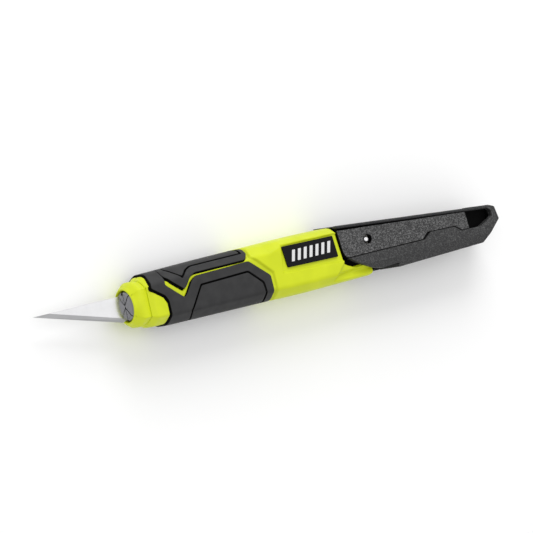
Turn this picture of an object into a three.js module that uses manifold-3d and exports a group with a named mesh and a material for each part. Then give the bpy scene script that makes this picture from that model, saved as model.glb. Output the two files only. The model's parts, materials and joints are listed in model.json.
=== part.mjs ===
// Hobby utility knife: a slim craft knife with a pointed blade held in a slit collet, a lime
// handle with black soft grips, and a black rear housing whose blade carrier flips up on a pin.
//
// Units are millimetres. The knife lies on its far side: +X runs from the blade to the rear end,
// +Y runs towards the blade's spine, and +Z points out of the near side. The origin is under the
// middle of the knife, on the surface it lies on. Sections are worked out about the collet's
// axis, where "w" is the height above the middle plane, and one group lifts them all by HALF_WIDTH.
import * as THREE from 'three';
import { mergeVertices } from 'three/addons/utils/BufferGeometryUtils.js';
import Module from 'manifold-3d';

const wasm = await Module();
wasm.setup();

// ---------------------------------------------------------------- driving dimensions
const HALF_WIDTH = 6;            // half of the knife's thickness, near side to far side
const HALF_LENGTH = 61.2;        // half of the overall length, blade tip to rear end
const HALF_HEIGHT = 6.65;        // half of the greatest height, over the label zone
const GAP = 0.3;                 // clearance between neighbouring pieces
const FIT = 0.2;                 // clearance between round pieces on one axis

const BLADE_LENGTH = 39.7;
const BLADE_THICKNESS = 0.5;
const BLADE_WIDTH = 6.0;
const TANG_WIDTH = 5.6;
const EDGE_LENGTH = 22.9;        // tip to heel along the spine
const SPINE_Y = 2.6;

const COLLET_FACE_X = -37.1;
const COLLET_RADIUS = 3.45;
const COLLET_LENGTH = 18.6;
const COLLET_SLOT = 1.0;
const STEM_RADIUS = 2;
const STEM_END_X = -9;

const SLEEVE_OUTER = 4.2;
const NOSE_SPLIT_X = -33.4;      // twist collar in front, fixed handle behind
const SLEEVE_REAR_X = -14;
const KEY_X = -20.9;             // the key pin stands between the tang and the slot's rear end

const PIN = { x: 25.8, y: 2.05, radius: 0.75, hole: 1.1 };
const FLIP_RADIUS = 9.8;         // how far the carrier reaches in front of its pin
const LOBE_RADIUS = 7.2;         // and its thumb lobe below the pin
const CAVITY_HALF = 4.4;         // half width inside the rear housing
const CARRIER_HALF = 3.7;
const CHEEK_INNER = 2.9;
const SPARE_COUNT = 5;
const SPARE_PITCH = 0.85;

const HANDLE_HALF = 5.75;        // half width of the lime handle between the grips
const GRIP_DEPTH = 0.7;          // how far the grips sit into the handle
const ROUND = 32;                // sides of a round piece

// ---------------------------------------------------------------- materials
const finish = (color, roughness, metalness = 0) =>
  new THREE.MeshStandardMaterial({ color, roughness, metalness });
const LIME = finish(0xc6d42c, 0.5);
const GRIP = finish(0x3a3a3a, 0.8);
const HOUSING = finish(0x3c3c3c, 0.6);
const PLATE = finish(0x505050, 0.85);
const BADGE = finish(0x1c1c1c, 0.4);
const STEEL = finish(0xc9c9c9, 0.25, 1);
const DARK_STEEL = finish(0x8a8a8a, 0.35, 1);
const BRASS = finish(0xb9964a, 0.35, 1);
const NYLON = finish(0xe8e6de, 0.6);
const INNER = finish(0x161616, 0.7);

// ---------------------------------------------------------------- solids and booleans
function solid(geometry) {
  const bare = geometry.index ? geometry.clone() : geometry;
  for (const name of ['normal', 'uv']) bare.deleteAttribute(name);
  const merged = mergeVertices(bare, 1e-4);
  return new wasm.Manifold(new wasm.Mesh({
    numProp: 3,
    vertProperties: new Float32Array(merged.attributes.position.array),
    triVerts: new Uint32Array(merged.index.array),
  }));
}

function geometryOf(manifold) {
  const out = manifold.getMesh();
  const geometry = new THREE.BufferGeometry();
  geometry.setAttribute('position', new THREE.BufferAttribute(out.vertProperties, 3));
  geometry.setIndex(new THREE.BufferAttribute(out.triVerts, 1));
  geometry.computeVertexNormals();
  return geometry;
}

function shapeOf(points) {
  return new THREE.Shape(points.map(([x, y]) => new THREE.Vector2(x, y)));
}

// A side outline in X and Y, made solid between two heights.
function slab(outline, low, high) {
  const shape = outline instanceof THREE.Shape ? outline : shapeOf(outline);
  const geometry = new THREE.ExtrudeGeometry(shape, {
    depth: high - low, bevelEnabled: false, curveSegments: 10,
  });
  return solid(geometry.translate(0, 0, low));
}

// A round piece about the collet's axis, from [x, radius] points that start and end on it.
function turned(profile, sides = ROUND) {
  const points = profile.map(([x, radius]) => new THREE.Vector2(radius, x));
  const geometry = new THREE.LatheGeometry(points, sides);
  geometry.rotateZ(-Math.PI / 2);
  return solid(geometry);
}

function rod(fromX, toX, radius, sides = ROUND) {
  return turned([[fromX, 0], [fromX, radius], [toX, radius], [toX, 0]], sides);
}

function tube(fromX, toX, inner, outer) {
  return rod(fromX, toX, outer).subtract(rod(fromX - 1, toX + 1, inner));
}

function block([x0, x1], [y0, y1], [w0, w1]) {
  const geometry = new THREE.BoxGeometry(x1 - x0, y1 - y0, w1 - w0);
  return solid(geometry.translate((x0 + x1) / 2, (y0 + y1) / 2, (w0 + w1) / 2));
}

// An upright cylinder, along w.
function post(x, y, radius, low, high, sides = ROUND) {
  const geometry = new THREE.CylinderGeometry(radius, radius, high - low, sides);
  return solid(geometry.rotateX(Math.PI / 2).translate(x, y, (low + high) / 2));
}

// An eight-sided section: its half heights up and down, its half width and its two chamfers.
function octagon({ up, down = up, half, chamferUp, chamferDown = chamferUp, inset }) {
  return [
    [up, inset - half], [up, half - inset], [up - chamferUp, half], [chamferDown - down, half],
    [-down, half - inset], [-down, inset - half], [chamferDown - down, -half], [up - chamferUp, -half],
  ];
}

// A closed skin through eight-sided sections along X, grown outwards by "grow".
function loft(stations, grow = 0) {
  const positions = [];
  for (const { x, ...section } of stations) {
    const grown = {
      ...section,
      up: section.up + grow,
      down: (section.down ?? section.up) + grow,
      half: section.half + grow,
    };
    for (const [y, w] of octagon(grown)) positions.push(x, y, w);
  }
  const sides = 8;
  const index = [];
  for (let ring = 0; ring + 1 < stations.length; ring += 1) {
    for (let i = 0; i < sides; i += 1) {
      const a = ring * sides + i;
      const b = ring * sides + (i + 1) % sides;
      index.push(a, b, a + sides, b, b + sides, a + sides);
    }
  }
  const last = (stations.length - 1) * sides;
  for (let i = 1; i + 1 < sides; i += 1) {
    index.push(0, i + 1, i);
    index.push(last, last + i, last + i + 1);
  }
  const geometry = new THREE.BufferGeometry();
  geometry.setAttribute('position', new THREE.Float32BufferAttribute(positions, 3));
  geometry.setIndex(index);
  return solid(geometry);
}

const wide = (outline) => slab(outline, -HALF_WIDTH - 2, HALF_WIDTH + 2);
const nearHalf = block([-100, 100], [-20, 20], [GAP / 2, 20]);
const farHalf = block([-100, 100], [-20, 20], [-20, -GAP / 2]);

// ---------------------------------------------------------------- outlines seen from the side
const topLine = (x) => 6.1 - (x - 24.7) * 0.0893;      // the rear housing's top edge
const bottomLine = (x) => -5.85 + (x - 33.7) * 0.0335; // and its bottom edge

function aroundPin(radius, degrees) {
  const angle = THREE.MathUtils.degToRad(degrees);
  return [PIN.x + radius * Math.cos(angle), PIN.y + radius * Math.sin(angle)];
}

function arcAroundPin(radius, from, to, steps = 10) {
  return Array.from({ length: steps + 1 }, (_, i) =>
    aroundPin(radius, from + (to - from) * i / steps));
}

const SLEEVE_GRIP_OUTLINE = [
  [-31.9, 8], [-31.9, 6.0], [-32.3, 4.95], [-32.8, 2.95], [-29.6, 0.6], [-28.9, -0.8],
  [-28.8, -3.9], [-28.7, -8], [-1.1, -8], [-1.1, -4.5], [-1.25, -0.7], [-6.2, 3.4],
  [-20.7, 3.2], [-21.9, 2.5], [-24.0, -0.35], [-24.7, -0.8], [-29.1, 2.95], [-28.75, 4.9],
  [-28.75, 8],
];
const TOP_GRIP_OUTLINE = [
  [-28.4, 8], [-28.4, 4.9], [-27.2, 3.45], [-24.3, 1.0], [-23.6, 1.45], [-22.1, 3.4],
  [-20.6, 4.1], [-7.0, 4.0], [-5.6, 5.2], [-5.6, 8],
];
const SIDE_PANEL_OUTLINE = [
  [-23.6, -8], [-19.9, 1.05], [-7.0, 1.3], [-3.6, -1.75], [-3.2, -4.0], [-3.0, -8],
];
const BADGE_OUTLINE = [[3.65, 0.05], [17.25, -0.25], [16.8, 4.65], [3.1, 4.95]];

// Moves every side of an outline outwards, or inwards where the distance is negative.
function offsetOutline(outline, distance) {
  const signedArea = THREE.ShapeUtils.area(outline.map(([x, y]) => new THREE.Vector2(x, y)));
  const side = Math.sign(signedArea);
  return outline.map((point, i) => {
    const before = outline[(i + outline.length - 1) % outline.length];
    const after = outline[(i + 1) % outline.length];
    const a = new THREE.Vector2(point[0] - before[0], point[1] - before[1]).normalize();
    const b = new THREE.Vector2(after[0] - point[0], after[1] - point[1]).normalize();
    const normalA = new THREE.Vector2(a.y, -a.x);
    const normalB = new THREE.Vector2(b.y, -b.x);
    const mid = normalA.clone().add(normalB).normalize();
    const reach = side * distance / Math.max(mid.dot(normalA), 0.4);
    return [point[0] + mid.x * reach, point[1] + mid.y * reach];
  });
}

// ---------------------------------------------------------------- blade and spare blades
function bladeOutline() {
  const tip = -HALF_LENGTH;
  const heel = tip + EDGE_LENGTH;
  const tangEnd = tip + BLADE_LENGTH;
  const shape = shapeOf([
    [tip, SPINE_Y], [heel, SPINE_Y - BLADE_WIDTH], [heel + 0.6, SPINE_Y - TANG_WIDTH],
    [tangEnd - 0.8, SPINE_Y - TANG_WIDTH], [tangEnd, SPINE_Y - TANG_WIDTH + 0.8],
    [tangEnd, SPINE_Y - 0.8], [tangEnd - 0.8, SPINE_Y],
  ]);
  const slot = { middle: SPINE_Y - TANG_WIDTH / 2, front: tangEnd - 10, rear: tangEnd - 4.5, radius: 0.9 };
  const hole = new THREE.Path();
  hole.absarc(slot.rear, slot.middle, slot.radius, -Math.PI / 2, Math.PI / 2, false);
  hole.absarc(slot.front, slot.middle, slot.radius, Math.PI / 2, Math.PI * 1.5, false);
  hole.closePath();
  shape.holes.push(hole);
  return shape;
}

const bladeSolid = slab(bladeOutline(), -BLADE_THICKNESS / 2, BLADE_THICKNESS / 2);

// Spares lie under the carrier's lid with their spines up and their tips towards the pin.
function spareBlade(index) {
  const tipX = 17.8;
  const slope = Math.atan(0.0893);
  const geometry = geometryOf(bladeSolid);
  geometry.translate(HALF_LENGTH, -SPINE_Y, (index - (SPARE_COUNT - 1) / 2) * SPARE_PITCH);
  geometry.rotateZ(-slope);
  geometry.translate(tipX, topLine(tipX) - 0.88, 0);
  return geometry;
}

// ---------------------------------------------------------------- collet and its drive
function collet() {
  const rear = COLLET_FACE_X + COLLET_LENGTH;
  const chamfer = 0.4;
  const body = turned([
    [COLLET_FACE_X, 0], [COLLET_FACE_X, COLLET_RADIUS - chamfer],
    [COLLET_FACE_X + chamfer, COLLET_RADIUS], [rear, COLLET_RADIUS], [rear, STEM_RADIUS],
    [STEM_END_X, STEM_RADIUS], [STEM_END_X, 0],
  ]);
  const half = COLLET_SLOT / 2;
  const slot = block([COLLET_FACE_X - 1, rear - 0.6], [-5, 5], [-half, half]);
  const slit = block([COLLET_FACE_X - 1, COLLET_FACE_X + 10], [-5, 5], [-0.2, 0.2]);
  return body.subtract(slot).subtract(slit.rotate([45, 0, 0])).subtract(slit.rotate([-45, 0, 0]));
}

const NOSE = [
  { x: COLLET_FACE_X, up: 4.25, half: 4.2, chamferUp: 1.7, inset: 1.7 },
  { x: -36.3, up: 4.95, half: 4.8, chamferUp: 1.95, inset: 2.0 },
  { x: -35.2, up: 5.3, half: 5.1, chamferUp: 2.1, inset: 2.2 },
  { x: NOSE_SPLIT_X, up: 5.35, half: 5.15, chamferUp: 2.1, inset: 2.2 },
];

function twistCollar() {
  const bore = rod(COLLET_FACE_X - 1, NOSE_SPLIT_X + 1, COLLET_RADIUS + FIT);
  const pocket = rod(COLLET_FACE_X + 1.5, NOSE_SPLIT_X + 1, SLEEVE_OUTER + FIT);
  return loft(NOSE).subtract(bore).subtract(pocket);
}

const collarNut = () =>
  tube(COLLET_FACE_X + 1.8, NOSE_SPLIT_X - 0.5, COLLET_RADIUS + FIT, SLEEVE_OUTER);

function guideSleeve() {
  const keyHole = post(0, 0, 0.5, 0, 8, 16).rotate([-90, 0, 0]).translate([KEY_X, 0, 0]);
  return tube(NOSE_SPLIT_X - 0.2, SLEEVE_REAR_X, COLLET_RADIUS + FIT, SLEEVE_OUTER).subtract(keyHole);
}

const keyPin = () =>
  post(0, 0, 0.3, 2.7, SLEEVE_OUTER, 12).rotate([-90, 0, 0]).translate([KEY_X, 0, 0]);

function colletSpring() {
  const front = COLLET_FACE_X + COLLET_LENGTH + 0.7;
  const turns = 4.5;
  const length = 4.4;
  const radius = 2.85;
  class Helix extends THREE.Curve {
    getPoint(t, target = new THREE.Vector3()) {
      const angle = t * turns * 2 * Math.PI;
      return target.set(front + t * length, radius * Math.cos(angle), radius * Math.sin(angle));
    }
  }
  const wire = new THREE.Shape();
  wire.absarc(0, 0, 0.28, 0, 2 * Math.PI, false);
  return solid(new THREE.ExtrudeGeometry(wire, {
    steps: 14 * turns, curveSegments: 4, extrudePath: new Helix(), bevelEnabled: false,
  }));
}

// ---------------------------------------------------------------- lime handle
const GRIP_ZONE = { half: HANDLE_HALF, chamferUp: 2.5, chamferDown: 2.1, inset: 2.9 };
const FRONT_STATIONS = [
  { x: NOSE_SPLIT_X + 0.15, up: 5.35, half: 5.15, chamferUp: 2.1, inset: 2.2 },
  { x: -31.4, ...GRIP_ZONE, up: 6.15, half: 5.7 },
  { x: -30, ...GRIP_ZONE, up: 6.2 },
  { x: -0.5, ...GRIP_ZONE, up: 6.35, down: 6.3 },
];
const REAR_STATIONS = [
  { x: -0.5, up: HALF_HEIGHT, half: HALF_WIDTH, chamferUp: 2.4, chamferDown: 2.2, inset: 3 },
  { x: 3, up: HALF_HEIGHT, half: HALF_WIDTH, chamferUp: 1.4, chamferDown: 2.2, inset: 2.4 },
  { x: 27, up: HALF_HEIGHT - 0.35, half: HALF_WIDTH, chamferUp: 1.3, chamferDown: 2.0, inset: 2.4 },
];

// The rear zone starts at a raised edge that zigzags back across the side.
const RAISED_EDGE = [[-6, 8], [-5.1, 6.2], [-5.3, 4.2], [-0.4, -0.3], [-0.25, -4], [-0.3, -8]];
const REAR_END = [
  [19.3, 8], [18.6, -1.7], [20.6, -3.2], [22.2, -3.95], [24, -4.5], [26.2, -4.85],
  [26.5, -5.4], [26, -8],
];

function handleOuter() {
  const label = [...RAISED_EDGE, ...[...REAR_END].reverse()];
  const behind = REAR_STATIONS.map((station) => ({ ...station }));
  behind[0].x = -7;
  return loft(FRONT_STATIONS).add(loft(behind).intersect(wide(label)));
}

function handleHollow() {
  const wall = 1.0;
  const insideHalf = HALF_WIDTH - wall;
  return [
    rod(NOSE_SPLIT_X - 1, SLEEVE_REAR_X + GAP, SLEEVE_OUTER + FIT),
    rod(SLEEVE_REAR_X, STEM_END_X + 1, STEM_RADIUS + 1.7),
    block([-6.5, 6], [-4.4, 4.4], [-4.3, 4.3]),
    block([8, 30], [-5.5, 5.5], [-insideHalf, insideHalf]),
    block([15.6, 30], [-5.6, 5.6], [-CAVITY_HALF, CAVITY_HALF]),
    block([15.6, 30], [0, 6.15], [-2.3, 2.3]),
  ];
}

const GRIP_PROUD = HALF_WIDTH - HANDLE_HALF;
const gripStations = (reach) => [
  { ...FRONT_STATIONS[1], x: -34 - reach }, ...FRONT_STATIONS.slice(1, 3),
  { ...FRONT_STATIONS[3], x: 1 + reach },
];
const gripSkin = (outer, inner) =>
  loft(gripStations(0), outer).subtract(loft(gripStations(1), inner));

const labelRecess = () => slab(offsetOutline(BADGE_OUTLINE, 0.8), HALF_WIDTH - 0.45, HALF_WIDTH + 1);

function handleShells() {
  const inner = loft(gripStations(0), -GRIP_DEPTH - GAP);
  let body = handleOuter();
  for (const hollow of handleHollow()) body = body.subtract(hollow);
  const seats = wide(offsetOutline(SLEEVE_GRIP_OUTLINE, GAP))
    .add(wide(offsetOutline(TOP_GRIP_OUTLINE, GAP)));
  body = body.subtract(seats.subtract(inner));
  const recess = labelRecess();
  body = body.subtract(recess).subtract(recess.mirror([0, 0, 1]));
  return [body.intersect(nearHalf), body.intersect(farHalf)];
}

// ---------------------------------------------------------------- soft grips and badges
function grip(outline, panel) {
  const groove = wide(offsetOutline(panel, 0.25)).subtract(wide(offsetOutline(panel, -0.25)));
  const cutter = gripSkin(GRIP_PROUD + 1, GRIP_PROUD - 0.45).intersect(groove);
  return gripSkin(GRIP_PROUD, -GRIP_DEPTH).intersect(wide(outline)).subtract(cutter);
}

const gripSleeve = () => grip(SLEEVE_GRIP_OUTLINE, SIDE_PANEL_OUTLINE);
const TOP_PANEL_OUTLINE = [
  [-26.9, 8], [-26.9, 6.2], [-24.2, 3.6], [-22.2, 5.0], [-20.6, 5.55], [-6.8, 5.45], [-6.8, 8],
];
const gripTop = () => grip(TOP_GRIP_OUTLINE, TOP_PANEL_OUTLINE);
const badge = () => slab(BADGE_OUTLINE, HALF_WIDTH - 0.45 + 0.1, HALF_WIDTH - 0.05);

// ---------------------------------------------------------------- rear housing and its side plate
const HOUSING_OUTLINE = [
  [19.6, topLine(19.6)], [19.6, -1.2], ...arcAroundPin(6.3, 213, 262, 5), [27.6, -4.75],
  [33.7, -4.6], [33.7, bottomLine(33.7)], [56.4, bottomLine(56.4)], [HALF_LENGTH, -0.5],
  [60.6, 2.3], [59.4, 3.0],
];
const FAR_WALL_OUTLINE = [
  [19.6, topLine(19.6)], [19.6, -1.2], ...arcAroundPin(6.3, 213, 262, 5), [26.6, -4.3],
  [27, -5.3], [26.9, bottomLine(26.9)],
  [33.7, bottomLine(33.7)], [56.4, bottomLine(56.4)], [HALF_LENGTH, -0.5], [60.6, 2.3], [59.4, 3.0],
];
const SEAM = [[19, -1.1], [40.6, -1.1], [42.5, 0.3], [49.1, 0.15], [51, -1.15], [52.6, -1.1]];
const WINDOW = [[52.6, -1.1], [55.8, -1.2], [59.4, 0.5], [59.5, 1.9], [58.6, 2.7], [58.6, 8], [19, 8]];

function rearHousing() {
  const lowEdge = loft([
    { x: 10, up: 8, down: 7, half: HALF_WIDTH, chamferUp: 0.2, chamferDown: 3.4, inset: 2.2 },
    { x: 62, up: 8, down: 6.3, half: HALF_WIDTH, chamferUp: 0.2, chamferDown: 3, inset: 2.2 },
  ]);
  const farWall = slab(FAR_WALL_OUTLINE, -HALF_WIDTH, -CAVITY_HALF);
  const rest = slab(HOUSING_OUTLINE, -CAVITY_HALF, HALF_WIDTH);
  const floor = 0.75;
  const inside = slab([
    [10, -5.5], [33.7, -5.5], [33.7, bottomLine(33.7) + floor], [56.5, bottomLine(56.5) + floor],
    [59.75, -1.1], [59.75, 8], [10, 8],
  ], -CAVITY_HALF, CAVITY_HALF);
  const opening = slab([...SEAM, ...WINDOW], CAVITY_HALF - 0.1, HALF_WIDTH + 1);
  const tenon = slab([[9, -4], [9, 4.2], [21, 5], [21, 0.5], [15.6, -2.5]], -CAVITY_HALF - 0.3, -4)
    .add(slab([[9, -4], [9, 4.2], [15.6, 4.6], [15.6, -3.6]], -4.7, 4));
  const pinHole = post(PIN.x, PIN.y, PIN.radius + FIT, -HALF_WIDTH + 0.6, 0);
  return farWall.add(rest).intersect(lowEdge).subtract(inside).subtract(opening)
    .add(tenon).subtract(pinHole);
}

function sidePlate() {
  const low = SEAM.map(([x, y]) => [x, y + 0.2]);
  const plate = slab([
    [19.6, -0.9], ...low.slice(1, -1), [52.3, -0.9], [52.3, topLine(52.3) - 0.6],
    [19.6, topLine(19.6) - 0.7],
  ], CAVITY_HALF, HALF_WIDTH);
  const tongue = slab([[17.2, 0], [17.2, 4], [21, 4.6], [21, 0]], 4, CAVITY_HALF + 0.3);
  return plate.add(tongue)
    .subtract(post(PIN.x, PIN.y, PIN.radius + FIT, 0, HALF_WIDTH + 1))
    .subtract(post(PIN.x, PIN.y, PIN.hole, HALF_WIDTH - 0.8, HALF_WIDTH + 1));
}

const hingePin = () => post(PIN.x, PIN.y, PIN.radius, -HALF_WIDTH + 0.9, HALF_WIDTH - 0.2);
function pinWasher(side) {
  const ring = post(PIN.x, PIN.y, 1.8, 3.9, 4.2).subtract(post(PIN.x, PIN.y, 1.0, 3, 5));
  return side > 0 ? ring : ring.mirror([0, 0, 1]);
}

// ---------------------------------------------------------------- flip-up blade carrier
function bladeCarrier() {
  const rearTop = 59.0;
  const lidFront = 19.6;
  const outline = [
    [rearTop, topLine(rearTop) - 0.2], [lidFront, topLine(lidFront) - 0.2], [lidFront, 5.2],
    [aroundPin(FLIP_RADIUS, 164)[0], 5.2], aroundPin(FLIP_RADIUS, 164),
    ...arcAroundPin(LOBE_RADIUS, 190, 300, 14), [33.9, -4.4], [55.8, -4.05], [rearTop, -1],
  ];
  const channel = slab(outline, -CARRIER_HALF, CARRIER_HALF);
  const underLid = slab([
    [70, topLine(70) - 0.75], [18, topLine(18) - 0.75], [15, 2], [24, 1.4], [30, -1.2], [36, -8], [70, -8],
  ], -CHEEK_INNER, CHEEK_INNER);
  const pinBore = post(PIN.x, PIN.y, PIN.radius + FIT, -5, 5);
  return channel.subtract(underLid).subtract(pinBore);
}

const carrierClip = () => slab([[38, -2.5], [38, 1], [50, 0.6], [50, -2.5]], 2.25, 2.6);

// ---------------------------------------------------------------- the assembly
const knife = new THREE.Group();
knife.position.z = HALF_WIDTH;

function place(name, piece, material) {
  const geometry = piece instanceof THREE.BufferGeometry ? piece : geometryOf(piece);
  const mesh = new THREE.Mesh(geometry, material);
  mesh.name = name;
  knife.add(mesh);
}

const [shellNear, shellFar] = handleShells();
place('handle_shell_near', shellNear, LIME);
place('handle_shell_far', shellFar, LIME);
place('grip_sleeve', gripSleeve(), GRIP);
place('grip_top', gripTop(), GRIP);
place('badge_near', badge(), BADGE);
place('badge_far', badge().mirror([0, 0, 1]), BADGE);
place('guide_sleeve', guideSleeve(), DARK_STEEL);
place('key_pin', keyPin(), DARK_STEEL);
place('collet_spring', colletSpring(), DARK_STEEL);
place('rear_housing', rearHousing(), HOUSING);
place('side_plate', sidePlate(), PLATE);
place('hinge_pin', hingePin(), STEEL);
place('pin_washer_near', pinWasher(1), NYLON);
place('pin_washer_far', pinWasher(-1), NYLON);

place('twist_collar', twistCollar(), LIME);
place('collar_nut', collarNut(), BRASS);

place('collet', collet(), DARK_STEEL);
place('blade', bladeSolid, STEEL);

place('blade_carrier', bladeCarrier(), INNER);
place('carrier_clip', carrierClip(), DARK_STEEL);
for (let i = 0; i < SPARE_COUNT; i += 1) place(`spare_blade_${i + 1}`, spareBlade(i), STEEL);

export default knife;
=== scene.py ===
# %% [markdown]
# # A hobby utility knife
# The knife lies on its far side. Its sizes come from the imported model, which this file loads as a
# fixed frame, and everything that Blender adds rides on one of the frame's bodies.
# Shapes are drawn in millimetres about the collet's axis, as on a maker's drawing: x runs from
# the blade to the rear end, y towards the blade's spine, and w out of the near side. Each piece
# is turned into metres at one place, when it is finished.

# %% Load the frame
import json
import math

import bmesh
import bpy
import numpy as np
from mathutils import Matrix, Vector


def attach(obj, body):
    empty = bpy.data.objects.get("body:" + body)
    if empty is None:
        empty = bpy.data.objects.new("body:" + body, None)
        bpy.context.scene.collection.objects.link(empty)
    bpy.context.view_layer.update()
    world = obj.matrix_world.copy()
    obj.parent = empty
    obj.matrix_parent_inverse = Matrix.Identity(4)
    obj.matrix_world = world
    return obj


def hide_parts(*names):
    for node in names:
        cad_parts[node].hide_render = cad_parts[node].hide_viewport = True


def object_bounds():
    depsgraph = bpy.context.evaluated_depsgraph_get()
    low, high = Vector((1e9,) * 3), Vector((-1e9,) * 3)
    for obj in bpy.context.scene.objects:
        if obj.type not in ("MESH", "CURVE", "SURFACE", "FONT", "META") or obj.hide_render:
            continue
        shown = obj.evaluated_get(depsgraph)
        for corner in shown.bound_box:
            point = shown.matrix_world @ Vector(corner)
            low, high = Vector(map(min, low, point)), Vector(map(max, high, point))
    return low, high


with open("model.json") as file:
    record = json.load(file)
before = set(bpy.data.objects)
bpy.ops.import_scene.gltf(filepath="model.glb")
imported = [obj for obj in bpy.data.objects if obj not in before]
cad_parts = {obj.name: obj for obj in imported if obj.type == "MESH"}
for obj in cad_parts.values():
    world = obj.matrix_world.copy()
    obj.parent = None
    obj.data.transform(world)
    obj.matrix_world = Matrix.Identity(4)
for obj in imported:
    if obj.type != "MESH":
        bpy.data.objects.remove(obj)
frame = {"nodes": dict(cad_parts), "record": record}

CAD_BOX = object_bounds()
NODES = frame["nodes"]
MM = 0.001
AXIS_HEIGHT = 6.0             # the collet's axis above the floor
TO_ROW = Matrix.Translation((0, 0, AXIS_HEIGHT * MM)) @ Matrix.Scale(MM, 4)

print("CAD box, mm:", [[round(v / MM, 2) for v in corner] for corner in CAD_BOX])

# %% [markdown]
# ## Camera
# The picture is taken from far away with a long lens, so parallel edges stay nearly parallel.
# The camera looks at the near side, turned towards the nose so that the collet's face shows,
# and it is rolled so that the knife climbs to the right.

# %% Camera
YAW = math.radians(31.5)      # turned towards the nose
TILT = math.radians(2.0)      # turned towards the spine
ROLL = math.radians(12.6)     # the long axis climbs by this much
LENS = 1500
DISTANCE = 5.007
AIM = Vector((0.0017, 0.0012, 0.006))

towards_camera = Vector(
    (-math.sin(YAW) * math.cos(TILT), math.sin(TILT), math.cos(YAW) * math.cos(TILT))
)
level_right = Vector((math.cos(YAW), 0, math.sin(YAW)))
level_up = towards_camera.cross(level_right)
right = level_right * math.cos(ROLL) - level_up * math.sin(ROLL)
up = towards_camera.cross(right)
turn = Matrix((right, up, towards_camera)).transposed().to_4x4()

camera_data = bpy.data.cameras.new("camera")
camera_data.lens = LENS
camera = bpy.data.objects.new("camera", camera_data)
camera.matrix_world = Matrix.Translation(AIM + towards_camera * DISTANCE) @ turn
bpy.context.scene.collection.objects.link(camera)
bpy.context.scene.camera = camera
print("camera at", [round(v, 3) for v in camera.matrix_world.translation])

# %% [markdown]
# ## Floor and light
# A pale floor and a few large soft lights, as in a product studio. The brightest light stands
# behind the spine, so the top facets are lighter than the near side and the lower facets darker.

# %% Floor and light
bpy.context.scene.view_settings.view_transform = "Standard"
world = bpy.data.worlds.new("studio")
bpy.context.scene.world = world
world.use_nodes = True
background = world.node_tree.nodes["Background"]
background.inputs["Color"].default_value = (1, 1, 1, 1)
background.inputs["Strength"].default_value = 0.72


def softbox(name, place, size, power):
    """A square area light that looks at the knife."""
    data = bpy.data.lights.new(name, "AREA")
    data.size = size
    data.energy = power
    lamp = bpy.data.objects.new(name, data)
    lamp.location = place
    lamp.rotation_euler = (-Vector(place)).to_track_quat("-Z", "Y").to_euler()
    bpy.context.scene.collection.objects.link(lamp)


softbox("spine_light", (0.1, 0.75, 0.55), 0.5, 3.6)
softbox("overhead_light", (-0.35, 0.1, 0.9), 0.7, 1.6)
softbox("steel_light", (0.52, -0.03, 0.85), 0.5, 0.5)

floor_mesh = bmesh.new()
bmesh.ops.create_grid(floor_mesh, x_segments=1, y_segments=1, size=1.5)
floor_data = bpy.data.meshes.new("floor")
floor_mesh.to_mesh(floor_data)
floor_mesh.free()
floor = bpy.data.objects.new("floor", floor_data)
floor.location.z = CAD_BOX[0][2] - 0.0002
bpy.context.scene.collection.objects.link(floor)
print("lights and floor are up")

# %% [markdown]
# ## Shader maths
# A material is a small formula: noise, masks and mixes. This class wraps a node's output so that
# the formula can be written with + and *, and each sign adds the Math node that it needs.

# %% A socket that does arithmetic


class Value:
    """One output socket, with arithmetic."""

    def __init__(self, tree, socket):
        self.tree = tree
        self.socket = socket

    def maths(self, operation, other):
        return self.tree.add("ShaderNodeMath", {"operation": operation}, [self, other])

    def __add__(self, other):
        return self.maths("ADD", other)

    def __mul__(self, other):
        return self.maths("MULTIPLY", other)

    __radd__ = __add__
    __rmul__ = __mul__

    def step(self, low, high):
        """0 below low, 1 above high, smooth between."""
        return self.tree.add(
            "ShaderNodeMapRange",
            {"interpolation_type": "SMOOTHSTEP"},
            {"Value": self, "From Min": low, "From Max": high},
        )


class Finish:
    """A material under construction."""

    def __init__(self, name):
        self.material = bpy.data.materials.new(name)
        self.material.use_nodes = True
        self.nodes = self.material.node_tree.nodes
        self.links = self.material.node_tree.links
        self.shader = self.nodes["Principled BSDF"]
        self.object = self.add("ShaderNodeTexCoord", {}, {}, out="Object")

    def add(self, kind, settings, inputs, out=0):
        """Any node: its settings first, then its sockets. Gives one output as a Value."""
        node = self.nodes.new(kind)
        for key, value in settings.items():
            setattr(node, key, value)
        pairs = enumerate(inputs) if isinstance(inputs, list) else inputs.items()
        for key, value in pairs:
            self.feed(node.inputs[key], value)
        return Value(self, node.outputs[out])

    def feed(self, socket, value):
        if isinstance(value, Value):
            self.links.new(value.socket, socket)
        else:
            socket.default_value = value

    def noise(self, size_mm, detail=2.0, rough=0.5, at=None):
        """Soft noise whose blobs are about size_mm across."""
        return self.add(
            "ShaderNodeTexNoise",
            {},
            {
                "Vector": at or self.object, "Scale": 1 / (size_mm * MM),
                "Detail": detail, "Roughness": rough,
            },
        )

    def stretched(self, x, y, z):
        """Object coordinates scaled on each axis, for brushed and ground marks."""
        return self.add("ShaderNodeMapping", {}, {"Vector": self.object, "Scale": (x, y, z)})

    def mix(self, factor, low, high):
        """A colour between low and high."""
        return self.add(
            "ShaderNodeMix", {"data_type": "RGBA"}, {0: factor, 6: (*low, 1), 7: (*high, 1)}, out=2
        )

    def bump(self, height, depth_mm):
        """A normal for a surface whose height runs over depth_mm."""
        inputs = {"Height": height, "Distance": depth_mm * MM, "Strength": 1.0}
        return self.add("ShaderNodeBump", {}, inputs)

    def set(self, **sockets):
        """Fills the shader's sockets by name and gives the finished material."""
        for name, value in sockets.items():
            self.feed(self.shader.inputs[name.replace("_", " ")], value)
        return self.material


print("a finish can now be written as a formula")

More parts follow.
